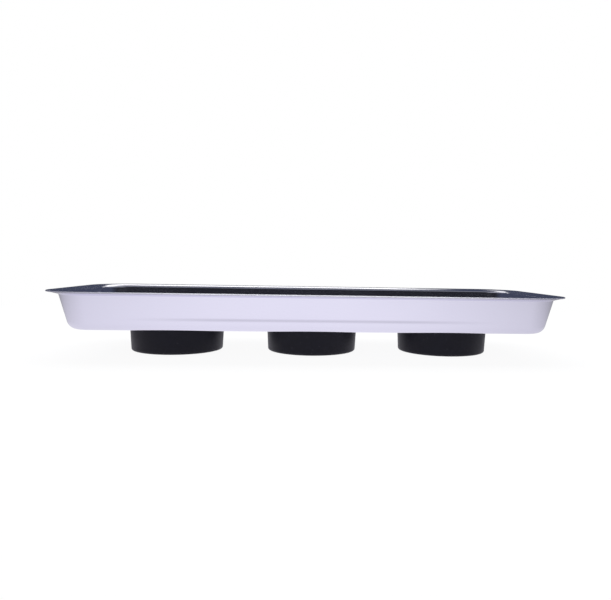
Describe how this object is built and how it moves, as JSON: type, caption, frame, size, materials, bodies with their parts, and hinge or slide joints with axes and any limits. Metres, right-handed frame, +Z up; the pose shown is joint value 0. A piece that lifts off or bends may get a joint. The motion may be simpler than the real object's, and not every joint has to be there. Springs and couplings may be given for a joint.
{
  "type": "magnetic parts tray",
  "caption": "Shallow oblong pan of polished steel with a raised flange, held by a row of magnets in black rubber boots, for keeping small steel parts in place during repairs.",
  "frame": {"origin": "centre of the tray on the surface that the boots stand on", "axes": "+X along the tray and the row of boots, +Y across the tray, +Z up through the open top"},
  "size_m": [0.36, 0.14, 0.046],
  "materials": {
    "polished_steel": "polished",
    "rubber": "satin",
    "ferrite": "sintered",
    "plated_steel": "zinc plated"
  },
  "bodies": {
    "root": {"tray_pan": "polished_steel", "left_boot": "rubber", "middle_boot": "rubber", "right_boot": "rubber", "left_magnet": "ferrite", "middle_magnet": "ferrite", "right_magnet": "ferrite", "left_pole_plate": "plated_steel", "middle_pole_plate": "plated_steel", "right_pole_plate": "plated_steel", "left_screw": "plated_steel", "middle_screw": "plated_steel", "right_screw": "plated_steel", "left_washer": "plated_steel", "middle_washer": "plated_steel", "right_washer": "plated_steel", "left_spring_washer": "plated_steel", "middle_spring_washer": "plated_steel", "right_spring_washer": "plated_steel", "left_nut": "plated_steel", "middle_nut": "plated_steel", "right_nut": "plated_steel"}
  },
  "joints": []
}
